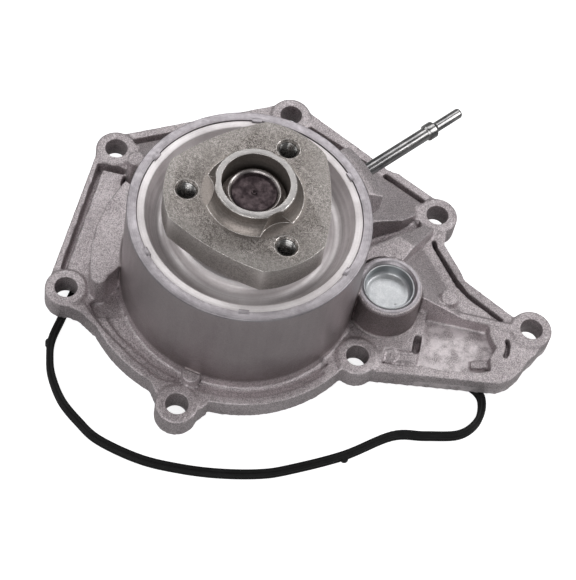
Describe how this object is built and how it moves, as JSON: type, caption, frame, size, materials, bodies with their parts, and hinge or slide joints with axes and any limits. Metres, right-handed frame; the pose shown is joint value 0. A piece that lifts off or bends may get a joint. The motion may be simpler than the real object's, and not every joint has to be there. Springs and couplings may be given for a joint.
{
  "type": "engine water pump",
  "caption": "Belt-driven engine water pump with a vacuum-operated regulating sleeve, a three-lobed drive flange and a loose profile gasket.",
  "frame": {"origin": "shaft axis at the housing's mounting face", "axes": "+Z along the shaft towards the drive flange, +X towards the long wing of the housing"},
  "size_m": [0.1844, 0.1618, 0.0767],
  "materials": {
    "cast_aluminium": "matte",
    "pressed_cup": "satin",
    "flange_steel": "satin",
    "steel": "satin",
    "polished_steel": "polished",
    "brass": "satin",
    "rubber": "matte",
    "carbon": "matte",
    "ceramic": "polished",
    "moulding": "matte",
    "tube_zinc": "polished",
    "plug_zinc": "satin"
  },
  "bodies": {
    "casing": {"housing": "cast_aluminium", "cover_cup": "pressed_cup", "bearing_outer_ring": "steel", "bearing_seals": "rubber", "seal_cup": "steel", "seal_bellows": "rubber", "seal_spring": "polished_steel", "seal_carbon_ring": "carbon", "rod_seals": "rubber", "return_springs": "polished_steel", "vacuum_tube": "tube_zinc", "core_plug": "plug_zinc", "profile_gasket": "rubber"},
    "shaft": {"drive_flange": "flange_steel", "pump_shaft": "steel", "seal_mating_ring": "ceramic", "impeller": "moulding"},
    "ball_train": {"bearing_balls": "polished_steel", "ball_cages": "brass"},
    "regulator": {"regulating_sleeve": "steel", "ring_piston": "moulding", "piston_seals": "rubber", "guide_rods": "polished_steel", "rod_clips": "steel"}
  },
  "joints": [
    {"name": "shaft_spin", "type": "hinge", "parent": "casing", "child": "shaft", "pos_m": [0, 0, 0], "axis": [0, 0, 1], "continuous": true},
    {"name": "ball_train_spin", "type": "hinge", "parent": "casing", "child": "ball_train", "pos_m": [0, 0, 0], "axis": [0, 0, 1], "continuous": true},
    {"name": "regulator_slide", "type": "slide", "parent": "casing", "child": "regulator", "axis": [0, 0, -1], "range_m": [0, 0.009], "stiffness_N_per_m": 1200, "springref_m": -0.004, "deforming": ["return_springs"]}
  ],
  "couplings": [
    {"joint": "ball_train_spin", "follows": "shaft_spin", "ratio": 0.375}
  ]
}
